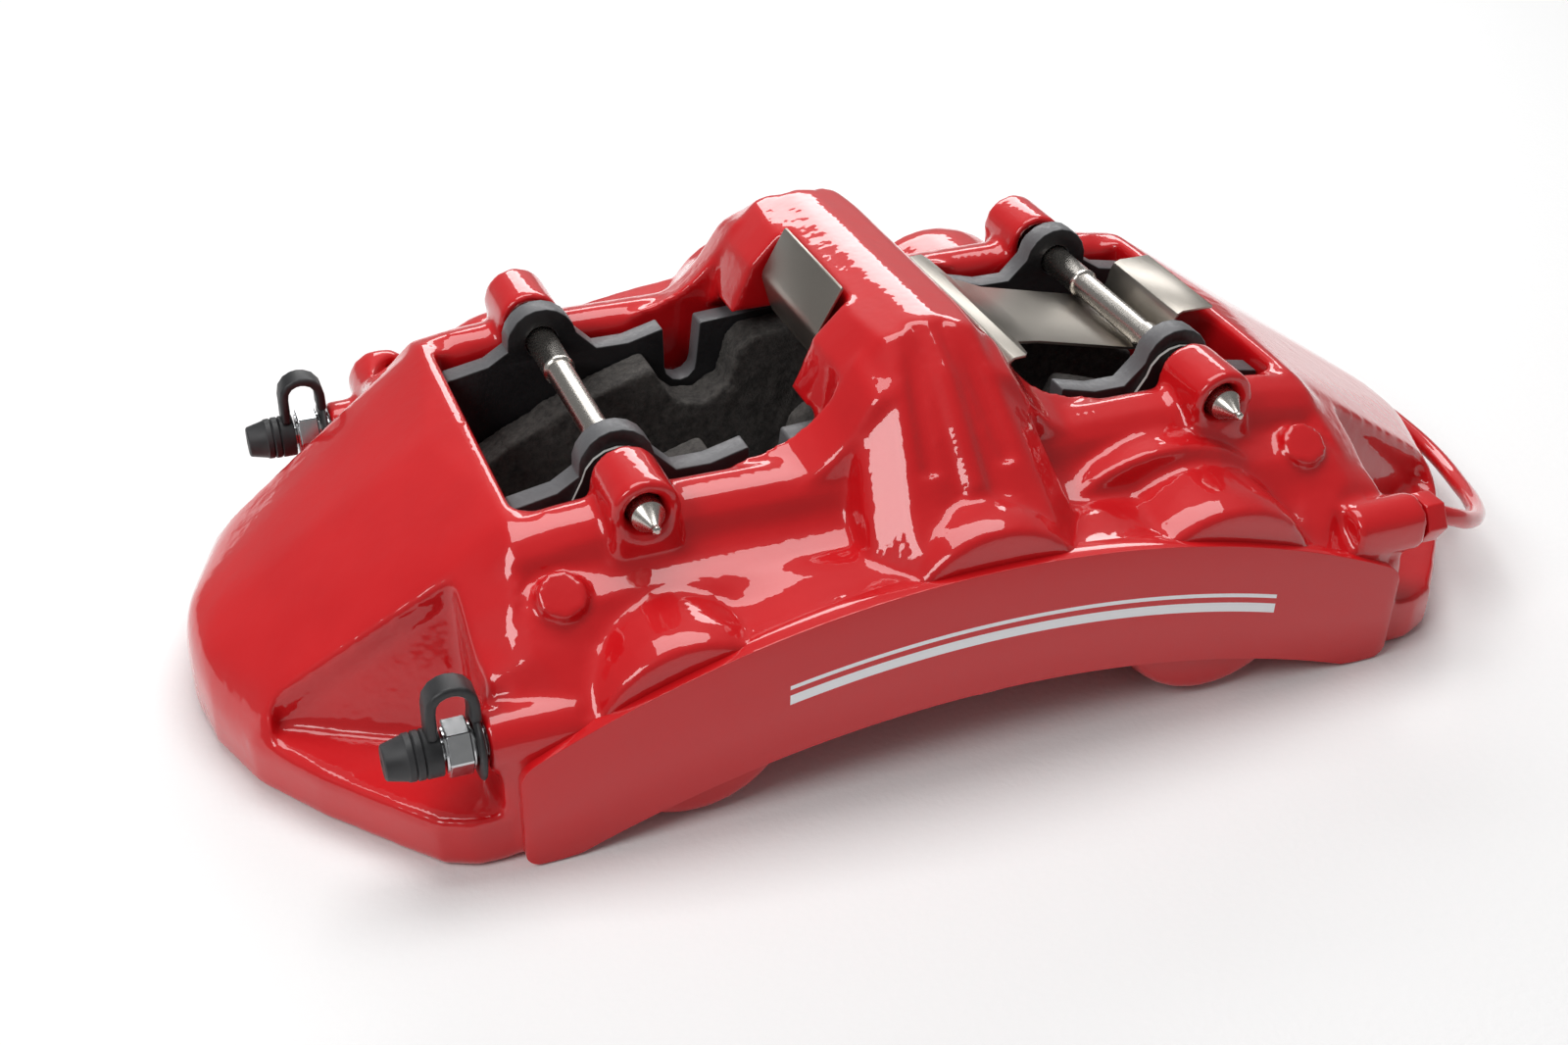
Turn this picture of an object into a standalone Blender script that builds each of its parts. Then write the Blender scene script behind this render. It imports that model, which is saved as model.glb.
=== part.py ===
"""A six-piston fixed brake caliper with its pads, for a 350 mm x 34 mm disc.

+X runs along the caliper, +Y from the wheel side to the hub side, and +Z away
from the disc's axis. Y = 0 is the middle plane of the disc. The caliper stands
on its two ends, at Z = 0. Everything is built about the middle of the casting
and hangs on one empty, which puts X = 0 midway between the left nose and the
pipe. Dimensions are in metres.
"""

import math

import bmesh
import bpy
from mathutils import Matrix, Vector

MM = 0.001
GAP = 0.3 * MM
CASTING_MIDDLE_X = -3.6 * MM

# The brake disc, and the space left for it
DISC_AXIS_Z = -112 * MM
DISC_RADIUS = 175 * MM
DISC_THICKNESS = 34 * MM
DISC_CLEARANCE = 3.5 * MM
SLOT_RADIUS = DISC_RADIUS + 3.5 * MM

# The casting: its two halves, its ends and the bridge between the windows
HALF_LENGTH = 112.3 * MM
FACE_Y = 85.5 * MM
HALF_Y = 82 * MM
BOSS_Y = 83.5 * MM
WALL_Y = 38.5 * MM
ABUTMENT_X = 97.3 * MM
FACE_HALF = 110 * MM
FACE_CREST = 51.7 * MM
FACE_TOP_RADIUS = 248 * MM
FACE_FOOT = 18.6 * MM
FACE_FOOT_RADIUS = 275 * MM
SHOULDER_Z = 50 * MM
RAIL_Z = 63.5 * MM
BRIDGE_FOOT_Z = 68 * MM
BRIDGE_TOP_Z = 91 * MM

# Pistons: (name, x, z, bore diameter, radius of its boss)
PISTONS = (
    ("leading", -70.6 * MM, 24.8 * MM, 32 * MM, 22.8 * MM),
    ("middle", 0.0, 37.8 * MM, 34 * MM, 22.6 * MM),
    ("trailing", 60 * MM, 27.2 * MM, 38 * MM, 25.2 * MM),
)
PISTON_LENGTH = 36 * MM
PISTON_WALL = 3.6 * MM
BORE_END_Y = 74.5 * MM
SEAL_Y = 50 * MM
SEAL_WIDTH = 3.2 * MM
SEAL_DEPTH = 3.0 * MM
BOOT_DEPTH = 5 * MM
BOOT_WALL = 3.4 * MM
ROUND_SEGMENTS = 20

# Brake pads: steel plate, lining and shim
PLATE_Y = 28.2 * MM
PLATE_THICKNESS = 6 * MM
LINING_THICKNESS = 10.8 * MM
SHIM_THICKNESS = 0.8 * MM
SHIM_Y = PLATE_Y + PLATE_THICKNESS + 0.2 * MM
PISTON_NOSE_Y = SHIM_Y + SHIM_THICKNESS + GAP
PAD_HALF = 96.5 * MM
PAD_FOOT_Z = 5 * MM
LINING_TOP_RADIUS = 176 * MM
EAR_RADIUS = 9 * MM

# Pad pins and their bosses
PIN_X = 72 * MM
PIN_Z = 64 * MM
PIN_RADIUS = 4 * MM
PIN_WAIST_RADIUS = 3.2 * MM
PIN_TIP_Y = -57 * MM
PIN_BOSS_Y = 56.5 * MM
PIN_BOSS_RADIUS = 8.2 * MM

# The pad spring: a lip in a recess of the bridge, and an upturned plate at the other end
LIP_X = -11.5 * MM
SPRING_THICKNESS = 0.8 * MM
SPRING_HALF = 16.4 * MM

# Bleed screws: (name, tip of the boss x, y, z)
BLEEDS = (
    ("outboard", -115.5 * MM, -76.5 * MM, 30 * MM),
    ("inboard", -122.5 * MM, 61.5 * MM, 31 * MM),
)
BLEED_HOLE_RADIUS = 3.6 * MM
BLEED_HEX = 11 * MM

# Crossover pipe and its two ports, and the brake hose's port
PORT_X = 117.5 * MM
PORT_Y = 77 * MM
PORT_Z = 34 * MM
PORT_HOLE_RADIUS = 5.3 * MM
PIPE_RADIUS = 2.4 * MM
NUT_HEX = 11 * MM
HOSE_PORT = (-105.5 * MM, 76 * MM, 36 * MM)

# Mounting holes, parallel to Z, in the hub side
MOUNT_X = 98 * MM
MOUNT_Y = 61.5 * MM
MOUNT_HOLE_RADIUS = 6.1 * MM
MOUNT_SPOT_RADIUS = 11 * MM
MOUNT_SPOT_Z = 40 * MM
LUG_HALF = 13.5 * MM


def clear_scene():
    for old in list(bpy.data.objects):
        bpy.data.objects.remove(old, do_unlink=True)


def new_material(name, colour, roughness, metallic):
    material = bpy.data.materials.new(name)
    material.use_nodes = True
    shader = material.node_tree.nodes["Principled BSDF"]
    shader.inputs["Base Color"].default_value = (*colour, 1)
    shader.inputs["Roughness"].default_value = roughness
    shader.inputs["Metallic"].default_value = metallic
    return material


def object_from(name, bm, material=None, collection=None, sharp=35):
    """A new object of this mesh, its faces turned outwards and shaded smooth."""
    bmesh.ops.remove_doubles(bm, verts=bm.verts, dist=0.00001)
    bmesh.ops.recalc_face_normals(bm, faces=bm.faces)
    mesh = bpy.data.meshes.new(name)
    bm.to_mesh(mesh)
    bm.free()
    mesh.shade_smooth()
    mesh.set_sharp_from_angle(angle=math.radians(sharp))
    obj = bpy.data.objects.new(name, mesh)
    (collection or bpy.context.scene.collection).objects.link(obj)
    if material:
        mesh.materials.append(material)
    return obj


def helper_collection(name):
    """A collection for shapes that a Boolean reads, which aren't pieces themselves."""
    collection = bpy.data.collections.new(name)
    bpy.context.scene.collection.children.link(collection)
    collection.hide_render = True
    return collection


def add_loft(bm, loops):
    """Skins closed loops of equally many points, and closes both ends."""
    rings = [[bm.verts.new(point) for point in loop] for loop in loops]
    count = len(rings[0])
    for ring, after in zip(rings, rings[1:]):
        for i in range(count):
            j = (i + 1) % count
            bm.faces.new((ring[i], ring[j], after[j], after[i]))
    bm.faces.new(rings[0])
    bm.faces.new(rings[-1])


def add_prism(bm, outline, axis, low, high):
    """Extrudes an outline of (u, v) points: XZ along Y, YZ along X, or XY along Z."""
    place = {
        "X": lambda u, v, w: (w, u, v),
        "Y": lambda u, v, w: (u, w, v),
        "Z": lambda u, v, w: (u, v, w),
    }[axis]
    add_loft(bm, [[place(u, v, w) for u, v in outline] for w in (low, high)])


def add_box(bm, low, high):
    outline = [(low[0], low[1]), (high[0], low[1]), (high[0], high[1]), (low[0], high[1])]
    add_prism(bm, outline, "Z", low[2], high[2])


def add_turned(bm, profile, centre, axis, segments=ROUND_SEGMENTS, closed=False):
    """Turns a profile of (distance along, radius) points about an axis through centre.

    A closed profile makes a ring. An open one starts and ends on the axis.
    """
    along = Vector(axis).normalized()
    side = along.orthogonal().normalized()
    other = along.cross(side)
    rings = []
    for distance, radius in profile:
        middle = Vector(centre) + along * distance
        if radius < 1e-6:
            rings.append([bm.verts.new(middle)] * segments)
            continue
        ring = []
        for i in range(segments):
            angle = 2 * math.pi * i / segments
            ring.append(bm.verts.new(middle + radius * (side * math.cos(angle) + other * math.sin(angle))))
        rings.append(ring)
    pairs = list(zip(rings, rings[1:]))
    if closed:
        pairs.append((rings[-1], rings[0]))
    for ring, after in pairs:
        for i in range(segments):
            j = (i + 1) % segments
            corners = []
            for vert in (ring[i], ring[j], after[j], after[i]):
                if vert not in corners:
                    corners.append(vert)
            bm.faces.new(corners)


def add_rod(bm, centre, axis, radius, low, high, segments=ROUND_SEGMENTS):
    add_turned(bm, [(low, 0), (low, radius), (high, radius), (high, 0)], centre, axis, segments)


def add_hull(bm, points):
    verts = [bm.verts.new(Vector(point) * MM) for point in points]
    made = bmesh.ops.convex_hull(bm, input=verts)
    loose = [item for item in made["geom_interior"] if isinstance(item, bmesh.types.BMVert)]
    bmesh.ops.delete(bm, geom=loose, context="VERTS")


def arc(centre_u, centre_v, radius, start, end, steps):
    """Points of a circular arc, from one angle to another in degrees."""
    points = []
    for i in range(steps + 1):
        angle = math.radians(start + (end - start) * i / steps)
        points.append((centre_u + radius * math.cos(angle), centre_v + radius * math.sin(angle)))
    return points


def smooth_step(value, low, high):
    t = min(max((value - low) / (high - low), 0), 1)
    return t * t * (3 - 2 * t)


def mixed(low, high, share):
    return low + (high - low) * share


def new_solid(name, adder, *args, collection=None, material=None, **more):
    bm = bmesh.new()
    adder(bm, *args, **more)
    return object_from(name, bm, material, collection)


# --- The casting -----------------------------------------------------------


def face_top(x):
    """Height of the top edge of the arched outer face."""
    return FACE_CREST - FACE_TOP_RADIUS + math.sqrt(FACE_TOP_RADIUS**2 - x * x)


def face_foot(x):
    foot = FACE_FOOT - FACE_FOOT_RADIUS + math.sqrt(FACE_FOOT_RADIUS**2 - x * x)
    return max(foot, 0.0)


def outer_drop(x):
    """How far the top of a half falls where it runs into the end's roof."""
    return 13 * MM * smooth_step(abs(x), 98 * MM, 113 * MM)


def half_section(x, side):
    """Outline of one half across the caliper: inner wall, rail, shoulder, ledge and outer wall."""
    outward = smooth_step(abs(x), 72 * MM, 98 * MM)
    top = face_top(x)
    foot = face_foot(x) + 0.4 * MM
    ledge_in = mixed(top + 0.5 * MM, 45 * MM, outward) - 0.4 * outer_drop(x)
    ledge_out = mixed(top - 0.6 * MM, top + 1.5 * MM, outward)
    drop = outer_drop(x)
    rail = RAIL_Z - 1.5 * MM * outward - drop
    shoulder = SHOULDER_Z - 0.6 * drop
    outline = [
        (WALL_Y - 1 * MM, foot + 4 * MM),
        (WALL_Y - 1 * MM, rail - 6 * MM),
        (WALL_Y + 1.5 * MM, rail - 1.8 * MM),
        (WALL_Y + 5.5 * MM, rail),
        (WALL_Y + 11 * MM, rail - 1.5 * MM),
        (WALL_Y + 14.5 * MM, rail - 4.5 * MM),
        (WALL_Y + 16 * MM, rail - 9 * MM),
        (WALL_Y + 19 * MM, shoulder + 2 * MM),
        (WALL_Y + 24.5 * MM, shoulder - 0.5 * MM),
        (WALL_Y + 28 * MM, mixed(shoulder, ledge_in, 0.6)),
        (WALL_Y + 31 * MM, ledge_in),
        (HALF_Y - 2 * MM, ledge_out),
        (HALF_Y, ledge_out - 2 * MM),
        (HALF_Y, foot + 1.5 * MM),
        (HALF_Y - 1.5 * MM, foot),
    ]
    return [(x, side * y, z) for y, z in outline]


def add_half(bm, side):
    stations = 20
    step = 2 * HALF_LENGTH / stations
    add_loft(bm, [half_section(-HALF_LENGTH + i * step, side) for i in range(stations + 1)])


def face_outline():
    """The arched outer face: arcs above and below, and rounded upright ends."""
    steps = 12
    top = [FACE_HALF * (1 - 2 * i / steps) for i in range(steps + 1)]
    foot = [-103 * MM + 206 * MM * i / steps for i in range(steps + 1)]
    outline = [(x, face_top(x)) for x in top]
    outline += [(-FACE_HALF, 3 * MM)]
    outline += [(x, face_foot(x)) for x in foot]
    outline += [(FACE_HALF, 3 * MM)]
    return outline


def add_end(bm, side):
    """One end of the casting: a crowned roof that slopes down to a blunt nose."""
    one_quarter = [
        (94, 0, 62), (94, 44, 60), (94, 70, 0), (99.3, 43.5, 61.5), (99.3, 0, 62), (108, 0, 58.5),
        (103, 60, 50.5), (108, 77, 35), (111, 82.3, 27), (112.8, 82.3, 2), (112, 81, 0),
        (120.5, 82, 12), (120.5, 82, 2), (119.5, 81, 0), (127, 79, 12), (127, 79, 2), (126, 78, 0),
        (135, 70, 12), (135, 70, 2), (134, 69, 0), (148, 55, 12), (148, 55, 2), (147, 54, 0),
        (159.5, 39, 12), (159.5, 39, 2), (158.5, 38, 0), (166, 22, 12), (166, 22, 2), (165, 21, 0),
        (168.5, 6, 13), (168.5, 6, 2), (167.5, 6, 0),
        (114, 44, 48.5), (134, 42.5, 36), (150, 41.5, 25), (156, 38, 19), (166, 10, 20),
        (120, 0, 51), (134, 0, 42), (148, 0, 32.5), (160, 0, 25), (167.5, 0, 18),
    ]  # fmt: skip
    points = [(side * x, y * flip, z) for x, y, z in one_quarter for flip in (1, -1)]
    add_hull(bm, points)


def add_end_pocket(bm, side, across):
    """The three-cornered pocket cast into each flank of an end, open at the top."""
    corners = [
        (153.5, 37, 14.5), (113, 45.5, 45.5), (113, 57, 13), (113, 95, 13), (160, 62, 13),
        (113, 47, 70), (154, 38.5, 50), (113, 95, 70), (160, 62, 50),
    ]  # fmt: skip
    add_hull(bm, [(side * x, across * y, z) for x, y, z in corners])


def bridge_section(y):
    """Outline of the bridge at one place along Y: a low arch with sloping flanks."""
    fall = smooth_step(abs(y), 40 * MM, 82 * MM)
    top = mixed(BRIDGE_TOP_Z, 51 * MM, smooth_step(abs(y), 36 * MM, 90 * MM) ** 0.9)
    foot = mixed(BRIDGE_FOOT_Z, 30 * MM, smooth_step(abs(y), WALL_Y, WALL_Y + 6 * MM))
    half_top = mixed(10.5, 17, fall) * MM
    half_mid = mixed(20, 27, fall) * MM
    half_foot = mixed(25, 36, fall) * MM
    groove = top - 2.5 * MM
    waist = max(top - 11 * MM, foot + 2 * MM)
    return [
        (-half_foot, y, foot),
        (-half_mid, y, waist),
        (-half_top, y, top - 1 * MM),
        (-half_top * 0.6, y, top),
        (0, y, groove),
        (half_top * 0.6, y, top),
        (half_top, y, top - 1 * MM),
        (half_mid, y, waist),
        (half_foot, y, foot),
    ]


def add_bridge(bm):
    stations = 16
    reach = 80.5 * MM
    add_loft(bm, [bridge_section(-reach + 2 * reach * i / stations) for i in range(stations + 1)])


def pin_boss_outline(x):
    round_top = arc(x, PIN_Z, PIN_BOSS_RADIUS, -20, 200, 12)
    return [(x - 8.5 * MM, 44 * MM), (x + 8.5 * MM, 44 * MM)] + round_top


def build_body(material):
    """The one-piece casting: solids joined, then the machined spaces cut."""
    core_parts = helper_collection("casting_core")
    cavity = helper_collection("casting_cavity")
    late_parts = helper_collection("casting_bosses")
    cuts = helper_collection("casting_cuts")

    body = new_solid("caliper_body", add_half, -1, material=material)
    new_solid("core_inboard_half", add_half, 1, collection=core_parts)
    new_solid("core_face", add_prism, face_outline(), "Y", -FACE_Y, -HALF_Y + 3 * MM, collection=core_parts)
    for side in (-1, 1):
        new_solid(f"core_end_{side}", add_end, side, collection=core_parts)
        for name, x, z, _, radius in PISTONS:
            profile = [
                (WALL_Y + 1.5 * MM, 0),
                (WALL_Y + 1.5 * MM, radius),
                (BOSS_Y - 20 * MM, radius + 1.2 * MM),
                (BOSS_Y - 6 * MM, radius + 1.2 * MM),
                (BOSS_Y - 1 * MM, radius),
                (BOSS_Y, radius - 0.8 * MM),
                (BOSS_Y, 0),
            ]
            centre = (x, 0, z)
            axis = (0, side, 0)
            boss = f"core_boss_{name}_{side}"
            new_solid(boss, add_turned, profile, centre, axis, 28, collection=core_parts)
        for across in (-1, 1):
            low, high = sorted((across * (WALL_Y - 0.7 * MM), across * PIN_BOSS_Y))
            outline = pin_boss_outline(side * PIN_X)
            name = f"core_pin_boss_{side}_{across}"
            new_solid(name, add_prism, outline, "Y", low, high, collection=core_parts)
        lug_low = (side * MOUNT_X - LUG_HALF, MOUNT_Y - LUG_HALF, 0)
        lug_high = (side * MOUNT_X + LUG_HALF, MOUNT_Y + LUG_HALF, 20 * MM)
        new_solid(f"core_lug_{side}", add_box, lug_low, lug_high, collection=core_parts)

    low = (-ABUTMENT_X, -WALL_Y, -10 * MM)
    high = (ABUTMENT_X, WALL_Y, 120 * MM)
    new_solid("cavity_pads", add_box, low, high, collection=cavity)
    for side in (-1, 1):
        for across in (-1, 1):
            new_solid(f"cavity_pocket_{side}_{across}", add_end_pocket, side, across, collection=cavity)

    new_solid("late_bridge", add_bridge, collection=late_parts)
    for name, x, y, z in BLEEDS:
        depth = 20 * MM if y < 0 else 26 * MM
        boss = (x, y, z), (1, 0, 0), 7 * MM, 0, depth, 20
        new_solid(f"late_bleed_{name}", add_rod, *boss, collection=late_parts)
    for across in (-1, 1):
        boss = (PORT_X, across * PORT_Y, PORT_Z), (-1, 0, 0), 7.2 * MM, 0, 20 * MM, 20
        new_solid(f"late_port_{across}", add_rod, *boss, collection=late_parts)
    new_solid("late_hose_port", add_rod, HOSE_PORT, (0, -1, 0), 9 * MM, 0, 26 * MM, 20, collection=late_parts)

    slot = DISC_THICKNESS / 2 + DISC_CLEARANCE
    disc_centre = (0, 0, DISC_AXIS_Z)
    new_solid("cut_disc", add_rod, disc_centre, (0, 1, 0), SLOT_RADIUS, -slot, slot, 64, collection=cuts)
    for side in (-1, 1):
        for name, x, z, bore, _ in PISTONS:
            radius = bore / 2 + GAP
            mouth = radius + BOOT_WALL + GAP
            groove = radius + SEAL_DEPTH
            profile = [
                (WALL_Y - 4 * MM, 0),
                (WALL_Y - 4 * MM, mouth),
                (WALL_Y + BOOT_DEPTH, mouth),
                (WALL_Y + BOOT_DEPTH, radius),
                (SEAL_Y - GAP, radius),
                (SEAL_Y - GAP, groove),
                (SEAL_Y + SEAL_WIDTH + GAP, groove),
                (SEAL_Y + SEAL_WIDTH + GAP, radius),
                (BORE_END_Y, radius),
                (BORE_END_Y, 0),
            ]
            centre = (x, 0, z)
            axis = (0, side, 0)
            new_solid(f"cut_bore_{name}_{side}", add_turned, profile, centre, axis, collection=cuts)
        pin = (side * PIN_X, 0, PIN_Z)
        hole = PIN_RADIUS + GAP
        profile = [
            (PIN_TIP_Y - 4 * MM, 0),
            (PIN_TIP_Y - 4 * MM, hole + 0.9 * MM),
            (PIN_TIP_Y + 3 * MM, hole + 0.9 * MM),
            (PIN_TIP_Y + 3 * MM, hole),
            (WALL_Y - 2 * MM, hole),
            (WALL_Y - 2 * MM, hole + 1.5 * MM),
            (PIN_BOSS_Y + 2 * MM, hole + 1.5 * MM),
            (PIN_BOSS_Y + 2 * MM, 0),
        ]
        new_solid(f"cut_pin_{side}", add_turned, profile, pin, (0, 1, 0), 16, collection=cuts)
        mount = (side * MOUNT_X, MOUNT_Y, 0)
        profile = [
            (-2 * MM, 0),
            (-2 * MM, MOUNT_HOLE_RADIUS),
            (MOUNT_SPOT_Z, MOUNT_HOLE_RADIUS),
            (MOUNT_SPOT_Z, MOUNT_SPOT_RADIUS),
            (80 * MM, MOUNT_SPOT_RADIUS),
            (80 * MM, 0),
        ]
        new_solid(f"cut_mount_{side}", add_turned, profile, mount, (0, 0, 1), collection=cuts)
    for name, x, y, z in BLEEDS:
        hole = (x, y, z), (1, 0, 0), BLEED_HOLE_RADIUS + GAP, -3 * MM, 16 * MM, 16
        new_solid(f"cut_bleed_{name}", add_rod, *hole, collection=cuts)
    for across in (-1, 1):
        hole = (PORT_X, across * PORT_Y, PORT_Z), (-1, 0, 0), PORT_HOLE_RADIUS, -3 * MM, 12 * MM, 16
        new_solid(f"cut_port_{across}", add_rod, *hole, collection=cuts)
    profile = [
        (-12 * MM, 0),
        (-12 * MM, 8.4 * MM),
        (0, 8.4 * MM),
        (0, PORT_HOLE_RADIUS),
        (6 * MM, PORT_HOLE_RADIUS),
        (6 * MM, 0),
    ]
    new_solid("cut_hose_port", add_turned, profile, HOSE_PORT, (0, -1, 0), 16, collection=cuts)
    low = (-40 * MM, -20 * MM, 50 * MM)
    high = (LIP_X + SPRING_THICKNESS + GAP, 20 * MM, 120 * MM)
    new_solid("cut_lip_recess", add_box, low, high, collection=cuts)

    steps = (("UNION", core_parts), ("DIFFERENCE", cavity), ("UNION", late_parts), ("DIFFERENCE", cuts))
    for operation, collection in steps:
        use_helpers(body, collection, operation)


# --- Pads -------------------------------------------------------------------


def both_sides(left):
    """The outline of a shape that is the same to the left and the right."""
    return left + [(-x, z) for x, z in reversed(left)]


def plate_outline():
    """Backing plate: flat foot, upright ends, two ears round the pins and two notches."""
    left = [
        (-PAD_HALF + 6 * MM, PAD_FOOT_Z),
        (-PAD_HALF, PAD_FOOT_Z + 8 * MM),
        (-PAD_HALF, 57.5 * MM),
        (-86 * MM, 59.5 * MM),
    ]
    left += arc(-PIN_X, PIN_Z, EAR_RADIUS, 188, 8, 10)
    left += [(-58 * MM, 60 * MM), (-50 * MM, 60 * MM), (-40.5 * MM, 62.5 * MM)]
    left += arc(-36 * MM, 51.2 * MM, 4.2 * MM, 180, 360, 6)
    left += [(-30.6 * MM, 62.5 * MM), (-14 * MM, 63.5 * MM)]
    return both_sides(left)


def lining_outline():
    """Friction lining: concentric with the disc above, and set in round the notches."""
    end = -PAD_HALF + 3.5 * MM
    left = [(end + 10.5 * MM, PAD_FOOT_Z + 3 * MM), (end, PAD_FOOT_Z + 12 * MM)]
    start = math.degrees(math.acos(end / LINING_TOP_RADIUS))
    notch_side = math.degrees(math.acos(-47 * MM / LINING_TOP_RADIUS))
    left += arc(0, DISC_AXIS_Z, LINING_TOP_RADIUS, start, notch_side, 6)
    left += [(-43 * MM, 50 * MM), (-39 * MM, 46 * MM), (-33 * MM, 45.4 * MM), (-27 * MM, 49 * MM)]
    left += [(-24.2 * MM, 59 * MM), (-21 * MM, 61.8 * MM), (-9 * MM, 62.8 * MM)]
    return both_sides(left)


def shim_outline():
    """Anti-squeal shim: the plate's outline, with lower ears."""
    left = [(-88 * MM, 9 * MM), (-93 * MM, 15 * MM), (-93 * MM, 50 * MM), (-84 * MM, 55 * MM)]
    left += arc(-PIN_X, 60.5 * MM, 8.6 * MM, 170, 10, 8)
    left += [(-59 * MM, 55 * MM), (-42 * MM, 55 * MM), (-42 * MM, 43 * MM)]
    left += [(-30 * MM, 43 * MM), (-28 * MM, 57 * MM)]
    return both_sides(left)


def use_helpers(obj, collection, operation):
    """Joins a collection's shapes to an object, or cuts them out of it."""
    for helper in collection.objects:
        helper.hide_render = True
        helper.display_type = "WIRE"
    modifier = obj.modifiers.new(collection.name, "BOOLEAN")
    modifier.operation = operation
    modifier.operand_type = "COLLECTION"
    modifier.collection = collection
    modifier.solver = "MANIFOLD"


def build_pad_layer(name, outline, side, inner, outer, material, drilled):
    low, high = sorted((side * inner, side * outer))
    layer = new_solid(name, add_prism, outline, "Y", low, high, material=material)
    if drilled:
        drills = helper_collection(f"{name}_drills")
        for end in (-1, 1):
            centre = (end * PIN_X, 0, PIN_Z)
            hole = PIN_RADIUS + GAP
            reach = 2 * MM
            new_solid(
                f"{name}_drill_{end}",
                add_rod,
                centre,
                (0, 1, 0),
                hole,
                low - reach,
                high + reach,
                16,
                collection=drills,
            )
        use_helpers(layer, drills, "DIFFERENCE")


def build_pad(name, side, plate_paint, friction, shim_coating):
    lining_back = PLATE_Y - GAP
    lining_face = lining_back - LINING_THICKNESS
    plate_back = PLATE_Y + PLATE_THICKNESS
    shim_back = SHIM_Y + SHIM_THICKNESS
    build_pad_layer(f"{name}_pad_plate", plate_outline(), side, PLATE_Y, plate_back, plate_paint, True)
    build_pad_layer(f"{name}_pad_lining", lining_outline(), side, lining_face, lining_back, friction, False)
    build_pad_layer(f"{name}_pad_shim", shim_outline(), side, SHIM_Y, shim_back, shim_coating, True)


# --- Pistons, seals and boots -----------------------------------------------


def build_cylinders(name, side, steel, seal_rubber, boot_rubber):
    """Three pistons, hollow towards the pad, each with a square seal and a dust boot."""
    axis = (0, side, 0)
    end = PISTON_NOSE_Y + PISTON_LENGTH
    for place, x, z, bore, _ in PISTONS:
        centre = (x, 0, z)
        outer = bore / 2
        inner = outer - PISTON_WALL
        profile = [
            (end - 5 * MM, 0),
            (end - 5 * MM, inner),
            (PISTON_NOSE_Y, inner),
            (PISTON_NOSE_Y, outer),
            (end - 1.5 * MM, outer),
            (end, outer - 1.5 * MM),
            (end, 0),
        ]
        piston = new_solid(f"{name}_{place}_piston", add_turned, profile, centre, axis, material=steel)
        place_origin(piston, (x, side * PISTON_NOSE_Y, z))
        seal = [
            (SEAL_Y, outer + GAP),
            (SEAL_Y + SEAL_WIDTH, outer + GAP),
            (SEAL_Y + SEAL_WIDTH, outer + SEAL_DEPTH),
            (SEAL_Y, outer + SEAL_DEPTH),
        ]
        new_solid(
            f"{name}_{place}_seal", add_turned, seal, centre, axis, closed=True, material=seal_rubber
        )
        boot = [
            (WALL_Y - 1.2 * MM, outer + GAP),
            (WALL_Y + BOOT_DEPTH - GAP, outer + GAP),
            (WALL_Y + BOOT_DEPTH - GAP, outer + GAP + BOOT_WALL),
            (WALL_Y + 1.2 * MM, outer + GAP + BOOT_WALL),
            (WALL_Y - 1.2 * MM, outer + GAP + 1.4 * MM),
        ]
        new_solid(
            f"{name}_{place}_dust_boot", add_turned, boot, centre, axis, closed=True, material=boot_rubber
        )


# --- Pins and spring --------------------------------------------------------


def split_ring(centre_u, centre_v, inner, outer):
    """A C-shaped outline, open by a narrow slit at the top."""
    outside = arc(centre_u, centre_v, outer, 100, 440, 16)
    return outside + arc(centre_u, centre_v, inner, 440, 100, 16)


def build_pins(steel, spring_steel):
    """Two pad pins with a conical tip and a waist, each held by a split sleeve."""
    shank = PIN_RADIUS - 0.2 * MM
    neck = PIN_WAIST_RADIUS + 0.3 * MM
    sleeve_low = WALL_Y + 6 * MM
    sleeve_high = PIN_BOSS_Y - 2 * MM
    head = PIN_BOSS_Y + 1.5 * MM
    profile = [
        (PIN_TIP_Y - 6.2 * MM, 0),
        (PIN_TIP_Y - 6.2 * MM, 1.1 * MM),
        (PIN_TIP_Y - 4.6 * MM, 1.3 * MM),
        (PIN_TIP_Y, shank),
        (-20 * MM, shank),
        (-18.5 * MM, PIN_WAIST_RADIUS),
        (12 * MM, PIN_WAIST_RADIUS),
        (13.5 * MM, shank),
        (sleeve_low - 1 * MM, shank),
        (sleeve_low - 1 * MM, neck),
        (sleeve_high + 1 * MM, neck),
        (sleeve_high + 1 * MM, PIN_RADIUS + 1 * MM),
        (head, PIN_RADIUS + 1 * MM),
        (head + 1 * MM, PIN_RADIUS),
        (head + 1 * MM, 0),
    ]
    for name, side in (("left", -1), ("right", 1)):
        centre = (side * PIN_X, 0, PIN_Z)
        new_solid(f"{name}_pad_pin", add_turned, profile, centre, (0, 1, 0), 16, material=steel)
        outline = split_ring(side * PIN_X, PIN_Z, neck + 0.4 * MM, PIN_RADIUS + 1.3 * MM)
        new_solid(
            f"{name}_pin_sleeve", add_prism, outline, "Y", sleeve_low, sleeve_high, material=spring_steel
        )


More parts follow.
